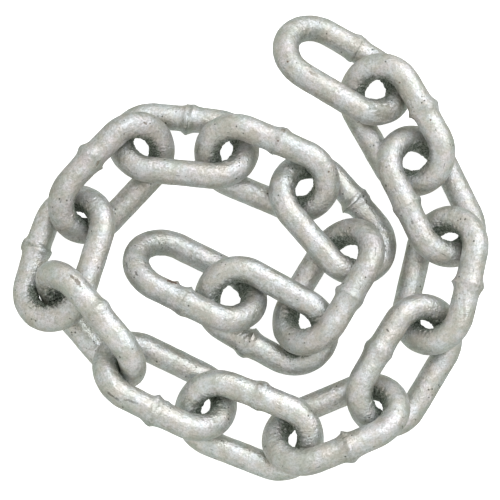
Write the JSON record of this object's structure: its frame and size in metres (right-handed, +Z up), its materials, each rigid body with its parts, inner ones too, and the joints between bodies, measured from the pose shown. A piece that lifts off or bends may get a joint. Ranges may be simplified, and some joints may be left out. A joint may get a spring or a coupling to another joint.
{
  "type": "steel chain",
  "caption": "Length of galvanised, butt-welded round-link steel chain laid as a flat spiral, for cutting to length, hanging, lashing or securing.",
  "frame": {"origin": "the floor, under the middle of the coil's box", "axes": "+Z up off the floor; the outer end link lies towards +Y, and the free inner end points to -X"},
  "size_m": [0.1868, 0.1852, 0.0348],
  "materials": {
    "galvanised_steel": "hot-dip galvanised, dull silver-grey, mottled, with pits and dark grime inside the crowns"
  },
  "bodies": {
    "root": {"link_01": "galvanised_steel", "link_02": "galvanised_steel", "link_03": "galvanised_steel", "link_04": "galvanised_steel", "link_05": "galvanised_steel", "link_06": "galvanised_steel", "link_07": "galvanised_steel", "link_08": "galvanised_steel", "link_09": "galvanised_steel", "link_10": "galvanised_steel", "link_11": "galvanised_steel", "link_12": "galvanised_steel", "link_13": "galvanised_steel", "link_14": "galvanised_steel", "link_15": "galvanised_steel", "link_16": "galvanised_steel", "link_17": "galvanised_steel"}
  },
  "joints": []
}
